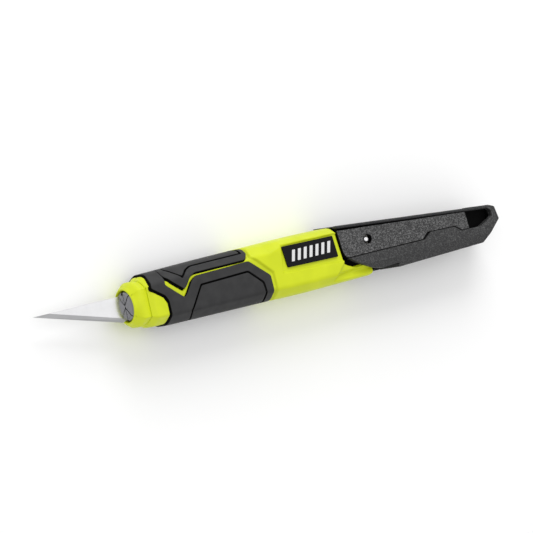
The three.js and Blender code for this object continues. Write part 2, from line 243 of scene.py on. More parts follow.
# %% [markdown]
# ## Finishes
# Lime plastic has a fine spark-eroded skin, the grips are softer and darker, the rear plate is
# coarse, and the steel parts are brushed or polished. Each plastic is one noise at the size of its
# grain, which drives colour, roughness and bump together, as a real grain does.

# %% Plastics


def lime_plastic():
    f = Finish("lime_plastic")
    grain = f.noise(0.16, 3.0, 0.6)
    cloud = f.noise(6.0, 2.0)
    colour = f.mix(cloud.step(0.3, 0.7), (0.56, 0.64, 0.006), (0.61, 0.69, 0.008))
    return f.set(
        Base_Color=colour, Roughness=grain * 0.12 + 0.40, Normal=f.bump(grain, 0.012),
        Specular_IOR_Level=0.3,
    )


def soft_grip():
    f = Finish("soft_grip")
    grain = f.noise(0.12, 3.0, 0.7)
    cloud = f.noise(2.5, 3.0)
    colour = f.mix(cloud.step(0.3, 0.7), (0.022, 0.022, 0.023), (0.030, 0.030, 0.031))
    return f.set(
        Base_Color=colour, Roughness=grain * 0.15 + 0.62, Normal=f.bump(grain, 0.014),
        Specular_IOR_Level=0.35,
    )


def black_plastic():
    f = Finish("black_plastic")
    grain = f.noise(0.24, 3.0, 0.7)
    colour = f.mix(grain.step(0.42, 0.68), (0.012, 0.012, 0.013), (0.045, 0.045, 0.046))
    return f.set(
        Base_Color=colour, Roughness=grain * 0.2 + 0.5, Normal=f.bump(grain, 0.05),
        Specular_IOR_Level=0.4,
    )


def textured_plastic(name, speck):
    f = Finish(name)
    coarse = f.noise(0.27, 4.0, 0.8)
    fine = f.noise(0.12, 2.0, 0.6)
    height = coarse * 0.75 + fine * 0.25
    colour = f.mix(coarse.step(0.45, 0.66), (0.014, 0.014, 0.015), (speck, speck, speck))
    return f.set(
        Base_Color=colour, Roughness=coarse * 0.2 + 0.5, Normal=f.bump(height, 0.08),
        Specular_IOR_Level=0.45,
    )


# Painted shade: a near-black copy of the black plastic, put as a second finish on upright walls,
# groove floors and inner faces where shade falls.
def inner_plastic():
    f = Finish("inner_plastic")
    grain = f.noise(0.3, 2.0)
    return f.set(
        Base_Color=f.mix(grain, (0.001, 0.001, 0.001), (0.002, 0.002, 0.002)),
        Roughness=grain * 0.1 + 0.75, Normal=f.bump(grain, 0.01), Specular_IOR_Level=0.1,
    )


def badge_film():
    f = Finish("badge_film")
    grain = f.noise(0.1, 2.0)
    return f.set(
        Base_Color=f.mix(grain, (0.004, 0.004, 0.005), (0.007, 0.007, 0.008)),
        Roughness=grain * 0.1 + 0.42, Normal=f.bump(grain, 0.005), Specular_IOR_Level=0.12,
    )


def badge_print():
    f = Finish("badge_print")
    grain = f.noise(0.1, 2.0)
    return f.set(
        Base_Color=f.mix(grain, (0.66, 0.66, 0.66), (0.72, 0.72, 0.72)),
        Roughness=grain * 0.1 + 0.4, Normal=f.bump(grain, 0.004), Specular_IOR_Level=0.2,
    )


def nylon():
    f = Finish("nylon")
    cloud = f.noise(0.8, 2.0)
    return f.set(
        Base_Color=f.mix(cloud, (0.7, 0.68, 0.6), (0.78, 0.76, 0.69)), Roughness=cloud * 0.1 + 0.5
    )


# %% [markdown]
# Ground or brushed steel carries fine marks along one way. The same noise, drawn out along one
# axis, makes them, and they change the roughness more than the colour.

# %% Metals
MARK_WIDTH, MARK_DEPTH = 0.05, 0.003


def metal(name, dark, light, rough, brush=(0.02, 1, 1)):
    """Steel or brass with marks drawn out along one axis."""
    f = Finish(name)
    marks = f.noise(MARK_WIDTH, 3.0, 0.6, f.stretched(*brush))
    cloud = f.noise(3.0, 2.0)
    return f.set(
        Base_Color=f.mix(cloud, dark, light), Metallic=1.0,
        Roughness=marks * 0.15 + rough, Normal=f.bump(marks, MARK_DEPTH),
    )


LOOKS = {
    "lime_plastic": lime_plastic(),
    "soft_grip": soft_grip(),
    "black_plastic": black_plastic(),
    "textured_plastic": textured_plastic("textured_plastic", 0.18),
    # Painted shade: a darker copy of the textured plastic, for the housing's near wall.
    "shaded_wall_plastic": textured_plastic("shaded_wall_plastic", 0.09),
    # inner_plastic is painted shade, not a separate plastic.
    "inner_plastic": inner_plastic(),
    "badge": badge_film(),
    "badge_print": badge_print(),
    "nylon": nylon(),
    "blade_steel": metal("blade_steel", (0.6, 0.6, 0.61), (0.68, 0.68, 0.69), 0.14, (1, 0.03, 1)),
    "ground_steel": metal("ground_steel", (0.4, 0.4, 0.41), (0.5, 0.5, 0.51), 0.32, (0.03, 1, 1)),
    "collet_steel": metal("collet_steel", (0.2, 0.2, 0.21), (0.27, 0.27, 0.28), 0.3, (1, 1, 1)),
    "drive_steel": metal("drive_steel", (0.4, 0.4, 0.41), (0.5, 0.5, 0.51), 0.3),
    "pin_steel": metal("pin_steel", (0.75, 0.75, 0.76), (0.85, 0.85, 0.86), 0.25, (1, 1, 0.05)),
    "brass": metal("brass", (0.6, 0.42, 0.16), (0.7, 0.5, 0.2), 0.28),
}

paper = Finish("floor_paper")
paper_colour = paper.mix(paper.noise(40.0), (0.93, 0.93, 0.93), (0.95, 0.95, 0.95))
floor.data.materials.append(paper.set(Base_Color=paper_colour, Roughness=0.9))
print("finishes:", ", ".join(LOOKS))

# %% [markdown]
# ## The handle's skin
# The handle is an eight-sided tube with soft corners. On a flat drawing its skin is unrolled: x
# runs along the knife and s runs round the section, 0 in the middle of the near side, positive
# towards the spine. Grips, seats and raised zones are drawn flat there, and then wrapped.
# A corner is two straight runs whose slopes are blended over a short length, so the flats stay
# flat and the corner is one even curve.

# %% Section of the handle along x
# x, top, bottom, half width, upper chamfer, lower chamfer, and how far the chamfers come in
STATIONS = np.array([
    (-38.0, 6.25, 6.22, 6.0, 2.45, 2.10, 3.7),
    (-32.0, 6.30, 6.24, 6.0, 2.50, 2.10, 3.6),
    (-26.0, 6.40, 6.30, 6.0, 2.50, 2.10, 3.1),
    (-15.0, 6.56, 6.36, 6.0, 2.55, 2.12, 2.9),
    (-0.5, 6.62, 6.42, 6.0, 2.40, 2.15, 3.0),
    (3.0, 6.64, 6.50, 6.0, 1.40, 2.20, 2.4),
    (9.8, 6.64, 6.50, 6.0, 1.40, 2.15, 2.4),
    (19.0, 6.46, 6.30, 6.0, 1.32, 2.05, 2.4),
    (27.0, 6.05, 6.15, 6.0, 1.30, 2.00, 2.4),
])
NEAR_TOP, TOP_CORNER, TOP_MID = 3.95, 7.78, 10.88
NEAR_LOW, LOW_CORNER, LOW_MID = -4.2, -7.78, -10.88
KNOTS = (LOW_MID, LOW_CORNER, NEAR_LOW, NEAR_TOP, TOP_CORNER, TOP_MID)
BLENDS = (0, 1.4, 0.7, 0.6, 1.4)   # half the length over which each corner turns
SEAM_Y = 7                    # a side-view y beyond this means past the seam
PAST_SEAM = TOP_MID + 1.5
TOP_STRETCH, LOW_STRETCH = 1.53, 1.70   # unrolled length per height on the sloping facets


def skin(x, s, h):
    """The point on the unrolled drawing at (x, s), raised by h, as x, y and w. All are arrays."""
    far = (s > TOP_MID) | (s < LOW_MID)
    s = np.where(s > TOP_MID, 2 * TOP_MID - s, np.where(s < LOW_MID, 2 * LOW_MID - s, s))
    top, low, half, rise, fall, inset = (
        np.interp(x, STATIONS[:, 0], STATIONS[:, i]) for i in range(1, 7)
    )
    flat = half - inset
    corners_y = (-low, -low, fall - low, top - rise, top, top)
    corners_w = (0 * x, flat, half, half, flat, 0 * x)
    result = []
    for corners in (corners_y, corners_w):
        slopes = [
            (corners[i + 1] - corners[i]) / (KNOTS[i + 1] - KNOTS[i]) for i in range(len(KNOTS) - 1)
        ]
        value = corners[0] + slopes[0] * (s - KNOTS[0])
        slope = slopes[0]
        for i in range(1, len(slopes)):
            past = s - KNOTS[i]
            bend = slopes[i] - slopes[i - 1]
            blend = BLENDS[i]
            blended = np.clip(past + blend, 0, 2 * blend)
            value = value + bend * np.where(past > blend, past, blended ** 2 / (4 * blend))
            slope = slope + bend * blended / (2 * blend)
        result.append((value, slope))
    (y, along_y), (w, along_w) = result
    length = np.hypot(along_y, along_w)
    y, w = y - h * along_w / length, w + h * along_y / length
    return x, y, np.where(far, -w, w)


def unrolled(points):
    """Side-view points (x, y) moved onto the unrolled drawing."""
    moved = []
    for x, y in points:
        if abs(y) > SEAM_Y:
            s = math.copysign(PAST_SEAM, y)
        elif y > NEAR_TOP:
            s = NEAR_TOP + (y - NEAR_TOP) * TOP_STRETCH
        elif y < NEAR_LOW:
            s = NEAR_LOW + (y - NEAR_LOW) * LOW_STRETCH
        else:
            s = y
        moved.append((x, s))
    return moved


print("half the handle's skin is", round(TOP_MID - LOW_MID, 1), "mm round")

# %% [markdown]
# ## Flat plates
# Grips, panels, the side plate and the badge are all plates: an outline with rounded corners, a
# thickness, and a small round along each edge. A flat filled curve with a bevel makes all three
# at once, holes included, and the result is turned into a mesh. Cuts across the plate then give
# it vertices where the skin turns, so that it can be wrapped.

# %% Outlines and plates


CORNER_STEPS = 4              # pieces in a rounded corner
# Upright plate walls get painted shade, the near-black second finish.
SHADED_WALL_BELOW = 0.3              # a plate's wall is a face whose normal rises less than this
BEND_CUTS = (-1, -0.6, -0.2, 0.2, 0.6, 1)   # where a plate is cut, in shares of a blend


def rounded(points, radius=0.45):
    """An outline whose corners are replaced by short curves."""
    corners = [Vector(p) for p in points]
    smooth = []
    for i, corner in enumerate(corners):
        before, after = corners[i - 1], corners[(i + 1) % len(corners)]
        start, end = (
            corner + (other - corner).normalized() * min(radius, (other - corner).length * 0.45)
            for other in (before, after)
        )
        for step in range(CORNER_STEPS + 1):
            t = step / CORNER_STEPS
            smooth.append(start.lerp(corner, t).lerp(corner.lerp(end, t), t))
    return smooth


def circle(centre, radius, sides=40):
    """A round outline, for a hole."""
    middle = Vector(centre)
    angles = [2 * math.pi * i / sides for i in range(sides)]
    return [middle + Vector((radius * math.cos(a), radius * math.sin(a))) for a in angles]


def area(points):
    """Twice the signed area, positive when the outline runs anticlockwise."""
    return sum(a.x * b.y - b.x * a.y for a, b in zip(points, points[1:] + points[:1]))


def plate(outline, low, high, edge=0.15, holes=()):
    """A bmesh plate from low to high whose edges are rounded by edge."""
    curve = bpy.data.curves.new("outline", "CURVE")
    curve.dimensions = "2D"
    curve.fill_mode = "BOTH"
    curve.extrude = (high - low) / 2 - edge
    curve.bevel_depth = edge
    curve.bevel_resolution = 2
    curve.offset = -edge
    for loop, turn_sign in [(outline, -1), *((hole, 1) for hole in holes)]:
        points = loop if area(loop) * turn_sign > 0 else loop[::-1]
        spline = curve.splines.new("POLY")
        spline.points.add(len(points) - 1)
        for target, point in zip(spline.points, points):
            target.co = (point.x, point.y, 0, 1)
        spline.use_cyclic_u = True
    holder = bpy.data.objects.new("outline", curve)
    bpy.context.scene.collection.objects.link(holder)
    depsgraph = bpy.context.evaluated_depsgraph_get()
    made = bpy.data.meshes.new_from_object(holder.evaluated_get(depsgraph))
    mesh = bmesh.new()
    mesh.from_mesh(made)
    bpy.data.objects.remove(holder)
    bpy.data.curves.remove(curve)
    bpy.data.meshes.remove(made)
    bmesh.ops.remove_doubles(mesh, verts=mesh.verts, dist=0.0005)
    bmesh.ops.translate(mesh, vec=(0, 0, (low + high) / 2), verts=mesh.verts)
    return mesh


def paint_wall_shade(mesh):
    """Gives the upright walls of a plate its second finish, painted shade as in a narrow groove."""
    for face in mesh.faces:
        face.normal_update()
        if abs(face.normal.z) < SHADED_WALL_BELOW:
            face.material_index = 1


def cut(mesh, point, normal, keep_inside=False):
    """A straight cut through a mesh. With keep_inside, what lies past it is thrown away."""
    everything = mesh.verts[:] + mesh.edges[:] + mesh.faces[:]
    bmesh.ops.bisect_plane(
        mesh, geom=everything, dist=0.0001, plane_co=point, plane_no=normal, clear_outer=keep_inside
    )


def wrap(mesh):
    """Moves a flat drawing (x, s, h) onto the handle's skin."""
    flat = np.array([v.co for v in mesh.verts])
    for vertex, place in zip(mesh.verts, np.transpose(skin(*flat.T))):
        vertex.co = place


def wrapped_plate(outline, low, high, edge=0.15, holes=()):
    """The near half of a plate that goes round the handle, mirrored into a whole one."""
    mesh = plate(outline, low, high, edge, holes)
    # Painted shade on the upright walls of the plate.
    paint_wall_shade(mesh)
    cut(mesh, (0, TOP_MID, 0), (0, 1, 0), keep_inside=True)
    cut(mesh, (0, LOW_MID, 0), (0, -1, 0), keep_inside=True)
    for knot, blend in list(zip(KNOTS, BLENDS))[1:]:
        for part in BEND_CUTS:
            cut(mesh, (0, knot + part * blend, 0), (0, 1, 0))
    for x in range(-32, 0, 4):
        cut(mesh, (x, 0, 0), (1, 0, 0))
    wrap(mesh)
    near = mesh.verts[:] + mesh.edges[:] + mesh.faces[:]
    bmesh.ops.mirror(mesh, geom=near, matrix=Matrix.Identity(4), merge_dist=0.002, axis="Z")
    bmesh.ops.remove_doubles(mesh, verts=mesh.verts, dist=0.002)
    return mesh


def join(*meshes):
    """Several bmeshes as one."""
    whole = meshes[0]
    for other in meshes[1:]:
        data = bpy.data.meshes.new("join")
        other.to_mesh(data)
        whole.from_mesh(data)
        other.free()
        bpy.data.meshes.remove(data)
    return whole


# %% [markdown]
# ## Finishing a piece
# Every piece ends the same way: its doubles are merged, its faces turned outwards, its
# millimetres become metres, and it is hung on its body in place of its CAD nodes. Faces meet
# smoothly up to an angle, and weighted normals keep large flats flat beside small rounds. Faces
# that were marked with the second material index get the second finish, such as the painted shade
# of a groove.


def finish(mesh, name, body, look, *stands_for, smooth=38, second=None):
    """Makes an object of a bmesh in millimetres, on its body and with its finish."""
    bmesh.ops.remove_doubles(mesh, verts=mesh.verts, dist=0.0008)
    bmesh.ops.dissolve_degenerate(mesh, edges=mesh.edges, dist=0.0005)
    bmesh.ops.recalc_face_normals(mesh, faces=mesh.faces)
    bmesh.ops.transform(mesh, matrix=TO_ROW, verts=mesh.verts)
    open_edges = sum(len(e.link_faces) != 2 for e in mesh.edges)
    data = bpy.data.meshes.new(name)
    mesh.to_mesh(data)
    mesh.free()
    data.polygons.foreach_set("use_smooth", [True] * len(data.polygons))
    data.set_sharp_from_angle(angle=math.radians(smooth))
    data.materials.append(LOOKS[look])
    if second:
        data.materials.append(LOOKS[second])
    piece = bpy.data.objects.new(name, data)
    bpy.context.scene.collection.objects.link(piece)
    weighted = piece.modifiers.new("flat_flats", "WEIGHTED_NORMAL")
    weighted.keep_sharp = True
    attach(piece, body)
    if stands_for:
        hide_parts(*stands_for)
    triangles = sum(len(p.vertices) - 2 for p in data.polygons)
    print(f"{name}: {triangles} triangles, {open_edges} open edges")


# %% [markdown]
# ## Lime shells
# On the real knife the handle is moulded in two halves that meet along the top and the bottom.
# Each half carries the seats for the grips, a raised rear zone that starts at a zigzag edge, a
# shallow recess for the badge, and a scooped ledge under the rear housing.
# All of these are small steps up and down from one skin, so the half is a fine grid on the
# unrolled drawing, and each feature lowers the grid by how far a point lies inside its outline.
# The steps are a little wider than the grid's cells, which gives them the soft edges of moulded
# plastic.

# %% Outlines on the side view
SLEEVE_OUTLINE = [
    (-31.9, 8), (-31.9, 6.0), (-32.3, 4.95), (-32.85, 2.95), (-29.55, 0.6), (-28.85, -0.8),
    (-28.8, -3.9), (-28.7, -8), (-1.15, -8), (-1.15, -4.5), (-1.3, -0.7), (-6.3, 3.45),
    (-20.7, 3.25), (-21.9, 2.5), (-23.95, -0.3), (-24.7, -0.8), (-29.05, 2.95), (-28.65, 4.9),
    (-28.65, 8),
]
TOP_OUTLINE = [
    (-28.55, 8), (-28.55, 4.9), (-27.3, 3.45), (-24.3, 1.0), (-23.6, 1.45), (-22.1, 3.4),
    (-20.6, 4.1), (-7.0, 4.0), (-5.6, 5.2), (-5.6, 8),
]
SIDE_PANEL = [
    (-22.3, -8), (-23.1, -5.8), (-23.5, -4.2), (-19.83, 1.1), (-6.95, 1.35), (-3.5, -1.75),
    (-3.2, -4.0), (-3.0, -8),
]
TOP_PANEL = [
    (-27.0, 8), (-27.0, 6.2), (-24.2, 3.6), (-22.2, 5.0), (-20.6, 5.55), (-6.8, 5.45), (-6.8, 8),
]
RAISED = [
    (-5.2, 8), (-4.75, 6.0), (-5.15, 4.35), (-0.15, -0.15), (0.0, -3.9), (0.05, -8),
    (40, -8), (40, 8),
]
RECESS = [(2.85, 5.55), (2.0, -1.05), (18.5, -1.6), (40, -1.6), (40, 5.0), (18.8, 5.15)]
SCOOP_EDGE = ((18.6, -1.6), (15.7, -5.0))
REAR_END = [                  # height, and where the shell ends at that height
    (-6.5, 25.9), (-6.1, 26.3), (-5.75, 26.5), (-5.24, 26.65), (-4.8, 26.4), (-4.5, 25.9),
    (-4.24, 24.0), (-3.85, 22.3), (-3.15, 20.7), (-2.63, 19.4), (-2.1, 18.65), (-1.6, 18.6),
    (5.5, 17.85), (6.7, 17.8),
]
print("corners drawn for the grips:", len(SLEEVE_OUTLINE) + len(TOP_OUTLINE))

# %% [markdown]
# A feature's edge is never a cliff in moulded plastic. The distance to an outline, put through a
# soft step, gives a wall with a rounded top and foot, and its width is the width of the ramp.

# %% Distances and soft steps


def depth_inside(outline, x, y):
    """How far each point lies inside an outline, negative outside. x and y are arrays."""
    nearest = np.full_like(x, np.inf)
    inside = np.zeros(x.shape, bool)
    for (ax, ay), (bx, by) in zip(outline, outline[1:] + outline[:1]):
        along = ((x - ax) * (bx - ax) + (y - ay) * (by - ay)) / ((bx - ax) ** 2 + (by - ay) ** 2)
        along = np.clip(along, 0, 1)
        reach = np.hypot(x - ax - along * (bx - ax), y - ay - along * (by - ay))
        nearest = np.minimum(nearest, reach)
        crosses = (ay > y) != (by > y)
        at = ax + (bx - ax) * (y - ay) / np.where(by == ay, 1, by - ay)
        inside ^= crosses & (x < at)
    return np.where(inside, nearest, -nearest)


def soft_step(value, low, high):
    """0 below low, 1 above high, and smooth between."""
    t = np.clip((value - low) / (high - low), 0, 1)
    return t * t * (3 - 2 * t)


print("a soft step, a quarter of the way along:", float(soft_step(0.25, 0, 1)))

# %% [markdown]
# The heights add up as a mould maker would cut them: first the plain lime with its waist behind
# the nose, then the raised rear zone, the badge's recess, the scooped ledge, and last the seats.

# %% Heights of the lime skin
CHANNEL = -0.5                # lime between the grips
FLANGE = -0.42                # and in front of them
WAIST = 0.94                  # how far the lime falls in front of the flange
SEAT = -1.05                  # lime under the grips
SEAT_SHIFT = (0.34, 0.36)     # the seats lie this far towards the nose and the floor edge
RECESS_DEPTH = 0.5
SCOOP_STEP, SCOOP_RAMP = 0.55, 0.8      # a crisp step at the scoop's edge, and a slope after it
SCOOP_STEP_LENGTH, SCOOP_RAMP_LENGTH = 0.5, 4.0
INNER = -1.6                  # inside of the wall


def seat_outline(outline):
    """A grip's seat, whose open rim shows as a dark line beside the grip: the grip's base, in
    painted shade.
    """
    return [(x - SEAT_SHIFT[0], s - SEAT_SHIFT[1]) for x, s in unrolled(outline)]


def lime_height(x, s):
    """How far the moulded surface lies above the skin at each point of the grid."""
    _, y, _ = skin(x, s, 0 * x)
    slope = soft_step(x, -33.9, -31.9)
    flange = soft_step(x, -31.2, -28.0)
    height = FLANGE * (1 - flange) + CHANNEL * flange - WAIST * (1 - slope)
    raised = soft_step(depth_inside(unrolled(RAISED), x, s), -0.5, 0.0)
    height = height * (1 - raised)
    recess = soft_step(depth_inside(RECESS, x, y), 0.0, 0.3)
    height = height - RECESS_DEPTH * recess
    (ax, ay), (bx, by) = SCOOP_EDGE
    length = math.hypot(bx - ax, by - ay)
    past = ((x - ax) * (ay - by) - (y - ay) * (ax - bx)) / length
    above = soft_step(y, -5.75, -5.2) * soft_step(-y, 1.3, 1.7)
    step = SCOOP_STEP * np.clip(past / SCOOP_STEP_LENGTH, 0, 1)
    ramp = SCOOP_RAMP * np.clip(past / SCOOP_RAMP_LENGTH, 0, 1)
    height = height - (step + ramp) * above
    for outline in (SLEEVE_OUTLINE, TOP_OUTLINE):
        seat = soft_step(depth_inside(seat_outline(outline), x, s), -0.1, 0.12)
        height = height * (1 - seat) + SEAT * seat
    return height


seat_middle = lime_height(np.array([-12.0]), np.array([0.0]))
print("seat under the sleeve, mm:", round(float(seat_middle[0]), 2))

# %% [markdown]
# The grid's rear edge follows the slanted end and the ledge. A copy of the grid pushed inwards is
# the inside of the wall, and bridging the two rims closes it. Each rim is rounded over a little.

# %% The near shell as a grid, and its mirror image
SHELL_FRONT, SHELL_BEND, SHELL_REAR = -33.4, 9.0, 18.7   # past the bend the columns follow the end
SHELL_GRID = (340, 130)
SEAM_GAP = 0.05
RIM_DROP, RIM_WIDTH = 0.16, 0.28
THIN_WALL = 0.45


def rear_limit(s):
    """Where the shell ends at each s: a slanted edge, then the ledge."""
    _, y, _ = skin(np.full_like(s, SCOOP_EDGE[0][0]), s, 0 * s)
    heights, limits = np.transpose(REAR_END)
    return np.interp(y, heights, limits)


def lime_shell():
    """The near half of the handle, closed."""
    low, high = LOW_MID + SEAM_GAP, TOP_MID - SEAM_GAP
    columns, rows = SHELL_GRID
    mesh = bmesh.new()
    bmesh.ops.create_grid(mesh, x_segments=columns, y_segments=rows, size=0.5)
    across, upwards = np.transpose([v.co[:2] for v in mesh.verts])
    s = low + (upwards + 0.5) * (high - low)
    x = SHELL_FRONT + (across + 0.5) * (SHELL_REAR - SHELL_FRONT)
    end = rear_limit(s)
    stretch = (end - SHELL_BEND) / (SHELL_REAR - SHELL_BEND)
    x = np.where(x > SHELL_BEND, SHELL_BEND + (x - SHELL_BEND) * stretch, x)
    h = lime_height(x, s)
    to_rim = np.minimum(np.minimum(s - low, high - s), end - x)
    h = h - RIM_DROP * (1 - np.clip(to_rim / RIM_WIDTH, 0, 1)) ** 2
    outside = mesh.verts[:]
    copy = bmesh.ops.duplicate(mesh, geom=mesh.verts[:] + mesh.edges[:] + mesh.faces[:])
    matching = copy["vert_map"]
    for i, vertex in enumerate(outside):
        matching[vertex].co = (x[i], s[i], min(INNER, h[i] - THIN_WALL))
        vertex.co = (x[i], s[i], h[i])
    rims = [e for e in mesh.edges if e.is_boundary]
    bmesh.ops.bridge_loops(mesh, edges=rims)
    wrap(mesh)
    return mesh


near_shell = lime_shell()
far_shell = near_shell.copy()
bmesh.ops.scale(far_shell, vec=(1, 1, -1), verts=far_shell.verts)
finish(near_shell, "lime_shell_near", "handle", "lime_plastic", "handle_shell_near", smooth=60)
finish(far_shell, "lime_shell_far", "handle", "lime_plastic", "handle_shell_far", smooth=60)

# %% [markdown]
# ## Soft grips
# The grips are overmoulded: a dark rubbery plate that stands proud of the lime, with a raised
# panel inside a narrow groove. Base, band and panel are three plates drawn flat, wrapped round
# the handle and joined, so the groove has a real floor and two rounded edges. The base and the
# upright walls carry painted shade.

# %% Grip sleeve and top grip
GROOVE = 0.6
GRIP_FLOOR = -0.7             # bottom of the grooves
GRIP_BOTTOM = -0.98
SHARPEST = 0.4                # keeps a grown corner from running away


def grown(outline, distance):
    """An outline moved outwards by a distance, corner by corner."""
    points = [Vector(p) for p in outline]
    side = 1 if area(points) > 0 else -1
    moved = []
    for i, point in enumerate(points):
        a = (point - points[i - 1]).normalized()
        b = (points[(i + 1) % len(points)] - point).normalized()
        out_a, out_b = Vector((a.y, -a.x)), Vector((b.y, -b.x))
        middle = (out_a + out_b).normalized()
        moved.append(point + middle * side * distance / max(middle.dot(out_a), SHARPEST))
    return moved


def grip(outline, panel):
    """A whole grip: a base in painted shade, the band round the panel, and the panel."""
    inside = unrolled(panel)
    opening = rounded(grown(inside, GROOVE / 2), 0.5)
    base = wrapped_plate(rounded(seat_outline(outline)), GRIP_BOTTOM, GRIP_FLOOR + 0.02, 0.05)
    band = wrapped_plate(rounded(unrolled(outline)), GRIP_FLOOR, 0, 0.16, holes=[opening])
    raised = wrapped_plate(rounded(grown(inside, -GROOVE / 2), 0.4), GRIP_FLOOR, 0, 0.12)
    # Painted shade: the whole base, groove floor and seat rim, gets the near-black second finish.
    for face in base.faces:
        face.material_index = 1
    return join(base, band, raised)


for outline, panel, name, node in (
    (SLEEVE_OUTLINE, SIDE_PANEL, "grip_sleeve_soft", "grip_sleeve"),
    (TOP_OUTLINE, TOP_PANEL, "grip_top_soft", "grip_top"),
):
    # The second finish, inner_plastic, is painted shade on the grips' base and walls.
    finish(grip(outline, panel), name, "handle", "soft_grip", node, second="inner_plastic")

# %% [markdown]
# ## Twist collar
# The nose turns to close the collet. It is one moulded ring: a narrow round front, facets that
# carry on from the handle, and a stepped bore. Its wall is drawn once as a closed profile, and a
# grid bent round in both directions sweeps that profile along the skin. Each profile point says
# how round it is, from the handle's eight sides to a true circle.

# %% Twist collar
COLLAR_RADIUS = 5.95          # where a height of nothing lies on a fully round ring
COLLAR_SIDES = 160
COLLAR_PROFILE = [
    # x, height on the skin or radius, how round
    (-35.5, 4.4, 1.0), (-35.6, 3.68, 1.0), (-36.95, 3.68, 1.0), (-37.1, 3.8, 1.0),
    (-37.1, 3.9, 1.0), (-37.06, 4.02, 1.0), (-36.92, 4.16, 1.0), (-36.7, -1.72, 0.92),
    (-36.4, -1.5, 0.82), (-36.1, -1.3, 0.68), (-35.75, -1.12, 0.5), (-35.35, -0.98, 0.34),
    (-34.9, -0.98, 0.2), (-34.4, -1.1, 0.1), (-33.9, -1.28, 0.02), (-33.46, -1.36, 0.0),
    (-33.42, -1.4, 0.0), (-33.42, 4.4, 1.0),
]


def twist_collar():
    """The ring, swept from a grid whose two ends meet in both directions."""
    count = len(COLLAR_PROFILE)
    mesh = bmesh.new()
    bmesh.ops.create_grid(mesh, x_segments=count, y_segments=COLLAR_SIDES, size=0.5)
    along, around = np.transpose([v.co[:2] for v in mesh.verts])
    index = np.round((along + 0.5) * count).astype(int) % count
    s = LOW_MID + (around + 0.5) * 2 * (TOP_MID - LOW_MID)
    x, size, round_share = np.array(COLLAR_PROFILE).T[:, index]
    _, y, w = skin(x, s, np.minimum(size, 0))
    radius = np.where(size < 0, COLLAR_RADIUS + size, size)
    scale = 1 - round_share + round_share * radius / np.hypot(y, w)
    for vertex, spot in zip(mesh.verts, np.transpose((x, y * scale, w * scale))):
        vertex.co = spot
    bmesh.ops.remove_doubles(mesh, verts=mesh.verts, dist=0.001)
    return mesh


finish(twist_collar(), "twist_collar_ring", "collar", "lime_plastic", "twist_collar", smooth=50)

# %% [markdown]
# ## Collet
# A steel collet is turned on a lathe and then slit, so that its four fingers can close on the
# blade. Spinning a half profile is what the lathe does; thin blocks taken away are the saw cuts.

# %% Collet


def lathe(profile, steps=96):
    """A closed round piece about the collet's axis, from (x, radius) points that end on it."""
    mesh = bmesh.new()
    verts = [mesh.verts.new((x, radius, 0)) for x, radius in profile]
    edges = [mesh.edges.new(pair) for pair in zip(verts, verts[1:])]
    bmesh.ops.spin(
        mesh, geom=verts + edges, cent=(0, 0, 0), axis=(1, 0, 0), angle=2 * math.pi,
        steps=steps, use_merge=True,
    )
    bmesh.ops.remove_doubles(mesh, verts=mesh.verts, dist=0.0005)
    bmesh.ops.recalc_face_normals(mesh, faces=mesh.faces)
    return mesh


def box(low, high, turned=0.0):
    """A block between two corners, turned about the collet's axis."""
    mesh = bmesh.new()
    bmesh.ops.create_cube(mesh, size=1)
    size = Vector(high) - Vector(low)
    bmesh.ops.scale(mesh, vec=size, verts=mesh.verts)
    bmesh.ops.translate(mesh, vec=(Vector(low) + Vector(high)) / 2, verts=mesh.verts)
    bmesh.ops.rotate(mesh, cent=(0, 0, 0), matrix=Matrix.Rotation(turned, 3, "X"), verts=mesh.verts)
    return mesh


def carve(mesh, cutter):
    """Mesh minus cutter, both bmeshes. Both are used up."""
    holders = []
    for source in (mesh, cutter):
        data = bpy.data.meshes.new("carve")
        source.to_mesh(data)
        source.free()
        holder = bpy.data.objects.new("carve", data)
        bpy.context.scene.collection.objects.link(holder)
        holders.append(holder)
    tool = holders[0].modifiers.new("carve", "BOOLEAN")
    tool.object = holders[1]
    tool.operation = "DIFFERENCE"
    tool.solver = "EXACT"
    depsgraph = bpy.context.evaluated_depsgraph_get()
    carved = bpy.data.meshes.new_from_object(holders[0].evaluated_get(depsgraph))
    result = bmesh.new()
    result.from_mesh(carved)
    for holder in holders:
        data = holder.data
        bpy.data.objects.remove(holder)
        bpy.data.meshes.remove(data)
    bpy.data.meshes.remove(carved)
    return result


COLLET_FACE, COLLET_REAR, COLLET_TAIL = -37.1, -18.5, -9.0
SLIT_REACH = 5                # longer than the collet's radius
collet_body = lathe([
    (COLLET_FACE, 0), (COLLET_FACE, 3.02), (COLLET_FACE + 0.06, 3.12), (COLLET_FACE + 0.34, 3.4),
    (COLLET_FACE + 0.42, 3.45), (COLLET_REAR - 0.2, 3.45), (COLLET_REAR, 3.25),
    (COLLET_REAR, 2.0), (COLLET_TAIL - 0.2, 2.0), (COLLET_TAIL, 1.8), (COLLET_TAIL, 0),
])
for rear, half, degrees in (
    (COLLET_REAR - 0.6, 0.34, 0), (COLLET_FACE + 10, 0.12, 45), (COLLET_FACE + 10, 0.12, -45),
):
    front_corner, rear_corner = (COLLET_FACE - 1, -SLIT_REACH, -half), (rear, SLIT_REACH, half)
    slit = box(front_corner, rear_corner, math.radians(degrees))
    collet_body = carve(collet_body, slit)
finish(collet_body, "collet_fingers", "chuck", "collet_steel", "collet", smooth=30)

# %% [markdown]
# ## Blades
# A hobby blade is stamped from half-millimetre strip, with a slot in its tang, and its edge is
# ground from both sides. The grinding line is a cut across the flat plate, and the points on the
# edge are then drawn together. The spares in the carrier are the same blade, five times.

